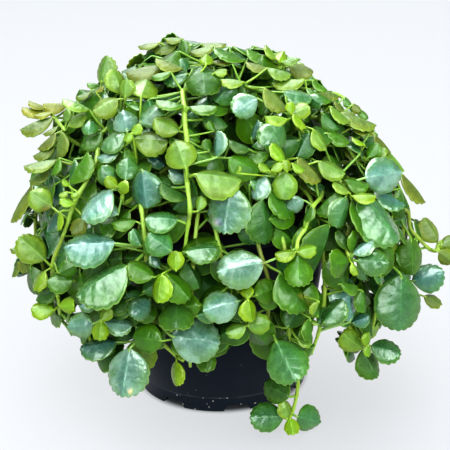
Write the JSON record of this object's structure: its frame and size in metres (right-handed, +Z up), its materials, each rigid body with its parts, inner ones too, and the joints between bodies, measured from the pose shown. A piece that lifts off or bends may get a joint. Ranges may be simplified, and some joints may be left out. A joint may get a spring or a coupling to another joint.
{
  "type": "potted trailing plant",
  "caption": "Dense trailing houseplant with small round scalloped leaves spilling over a tapered round nursery pot that stands on a notched foot ring.",
  "frame": {"origin": "on the surface the pot stands on, under the middle of the whole plant's box", "axes": "+Z up, -Y towards the side that the picture shows, +X to its right"},
  "size_m": [0.239, 0.2346, 0.1929],
  "materials": {
    "pot": "satin moulded, a little dusty",
    "soil": "rough peat and bark",
    "foliage": "waxy, slightly glossy"
  },
  "bodies": {
    "root": {"pot": "pot", "soil": "soil", "leafy_stem_01": "foliage", "leafy_stem_02": "foliage", "leafy_stem_03": "foliage", "leafy_stem_04": "foliage", "leafy_stem_05": "foliage", "leafy_stem_06": "foliage", "leafy_stem_07": "foliage", "leafy_stem_08": "foliage", "leafy_stem_09": "foliage", "leafy_stem_10": "foliage", "leafy_stem_11": "foliage", "leafy_stem_12": "foliage", "leafy_stem_13": "foliage", "leafy_stem_14": "foliage", "leafy_stem_15": "foliage", "leafy_stem_16": "foliage", "leafy_stem_17": "foliage", "leafy_stem_18": "foliage", "leafy_stem_19": "foliage", "leafy_stem_20": "foliage", "leafy_stem_21": "foliage", "leafy_stem_22": "foliage", "leafy_stem_23": "foliage", "leafy_stem_24": "foliage", "leafy_stem_25": "foliage", "leafy_stem_26": "foliage", "leafy_stem_27": "foliage", "leafy_stem_28": "foliage", "leafy_stem_29": "foliage", "leafy_stem_30": "foliage", "leafy_stem_31": "foliage", "leafy_stem_32": "foliage", "leafy_stem_33": "foliage", "leafy_stem_34": "foliage", "leafy_stem_35": "foliage", "leafy_stem_36": "foliage", "leafy_stem_37": "foliage", "leafy_stem_38": "foliage", "leafy_stem_39": "foliage", "leafy_stem_40": "foliage", "leafy_stem_41": "foliage", "leafy_stem_42": "foliage", "leafy_stem_43": "foliage", "leafy_stem_44": "foliage", "leafy_stem_45": "foliage"}
  },
  "joints": []
}
